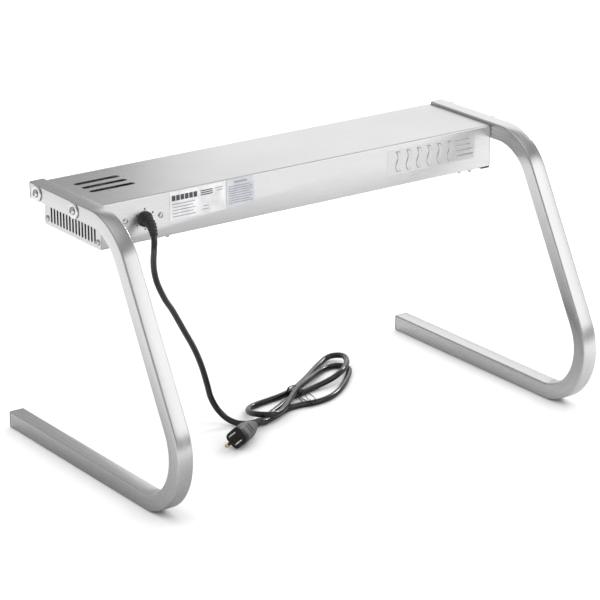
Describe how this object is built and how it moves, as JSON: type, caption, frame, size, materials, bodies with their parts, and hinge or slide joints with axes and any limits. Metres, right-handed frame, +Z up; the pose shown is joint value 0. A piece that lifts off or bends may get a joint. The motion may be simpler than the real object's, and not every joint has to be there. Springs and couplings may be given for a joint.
{
  "type": "strip heat lamp warmer",
  "caption": "Long rectangular radiant lamp housing held above a counter by two bent square-tube legs, with a supply cord.",
  "frame": {"origin": "on the counter, under the middle of the frame's own box without the cord", "axes": "+X along the lamp towards its control end, +Y towards the side that the cord leaves, +Z up"},
  "size_m": [0.6644, 0.4108, 0.3559],
  "materials": {
    "steel": "brushed stainless",
    "reflector": "polished",
    "screws": "bright zinc plate",
    "sheath": "dark heat-tinted metal sheath",
    "ceramic": "glazed steatite ceramic",
    "insulation": "ceramic fibre felt",
    "black_plastic": "satin moulded black",
    "plug_grey": "moulded satin grey",
    "cord_jacket": "glossy black jacket",
    "brass": "nickel-plated brass",
    "orange_lead": "orange wire insulation",
    "white_lead": "white wire insulation",
    "green_lead": "green wire insulation",
    "label": "silver and lilac printed film"
  },
  "bodies": {
    "body": {"back_screw_1": "screws", "back_screw_2": "screws", "badge_panel": "label", "bulkhead_control": "steel", "bulkhead_far": "steel", "cap_lower_left": "black_plastic", "cap_lower_right": "black_plastic", "cap_upper_left": "black_plastic", "cap_upper_right": "black_plastic", "control_bay_cover": "steel", "cord": "cord_jacket", "cord_bundle": "cord_jacket", "cord_tie": "black_plastic", "earth_stud": "brass", "edge_screw_1": "screws", "edge_screw_2": "screws", "edge_screw_3": "screws", "edge_screw_4": "screws", "element_bush_control": "ceramic", "element_bush_far": "ceramic", "end_plate_plain": "steel", "end_plate_vented": "steel", "end_screw_plain_1": "screws", "end_screw_plain_2": "screws", "end_screw_vented_1": "screws", "end_screw_vented_2": "screws", "far_bay_cover": "steel", "heating_element": "sheath", "housing_shell": "steel", "insulation": "insulation", "lead_earth": "green_lead", "lead_orange": "orange_lead", "lead_return": "white_lead", "lead_white": "white_lead", "leg_bolt_left_1": "screws", "leg_bolt_left_2": "screws", "leg_bolt_right_1": "screws", "leg_bolt_right_2": "screws", "leg_left": "steel", "leg_nut_left_1": "screws", "leg_nut_left_2": "screws", "leg_nut_right_1": "screws", "leg_nut_right_2": "screws", "leg_right": "steel", "leg_washer_left_1": "screws", "leg_washer_left_2": "screws", "leg_washer_right_1": "screws", "leg_washer_right_2": "screws", "notice_label": "label", "plug_blade_line": "brass", "plug_blade_neutral": "brass", "plug_body": "plug_grey", "plug_ground_pin": "brass", "rating_label": "label", "reflector": "reflector", "strain_relief": "black_plastic", "switch_body": "black_plastic", "terminal_block": "ceramic", "wire_guard": "screws"},
    "rocker": {"switch_rocker": "black_plastic"}
  },
  "joints": [
    {"name": "rocker_tip", "type": "hinge", "parent": "body", "child": "rocker", "pos_m": [0.258, -0.12763, 0.324], "axis": [-1, 0, 0], "range_deg": [0, 24]}
  ]
}
